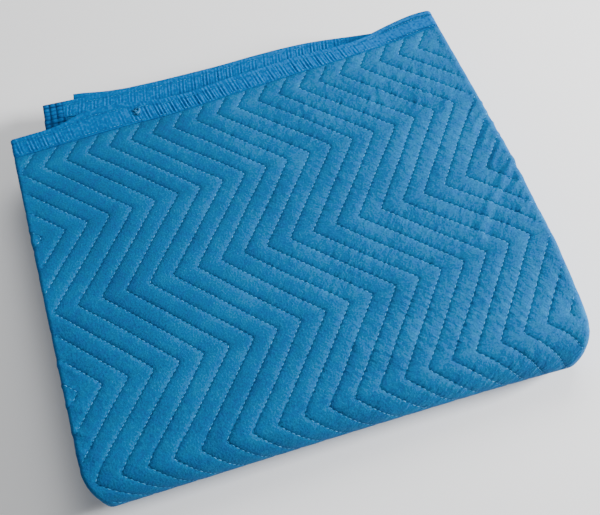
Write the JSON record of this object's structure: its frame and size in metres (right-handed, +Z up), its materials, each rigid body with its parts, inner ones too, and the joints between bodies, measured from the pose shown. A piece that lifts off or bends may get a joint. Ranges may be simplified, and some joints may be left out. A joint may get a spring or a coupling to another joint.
{
  "type": "folded moving blanket",
  "caption": "Quilted moving blanket with a zigzag stitch and taped edges, folded in quarters across and along into a flat stack of sixteen layers.",
  "frame": {"origin": "middle of the bounding box on the surface that the folded stack rests on", "axes": "+X along the front fold to the right, +Y from the front fold to the bound hems at the back, +Z up"},
  "size_m": [0.5332, 0.5144, 0.0651],
  "materials": {
    "quilted_cloth": "matte non-woven polyester cloth, dyed blue, quilted over a cotton pad",
    "binding_tape": "matte non-woven tape, folded over the edge and stitched"
  },
  "bodies": {
    "root": {"quilt": "quilted_cloth", "hem_binding_top": "binding_tape", "hem_binding_under": "binding_tape", "side_binding_outer": "binding_tape", "side_binding_inner": "binding_tape"}
  },
  "joints": []
}
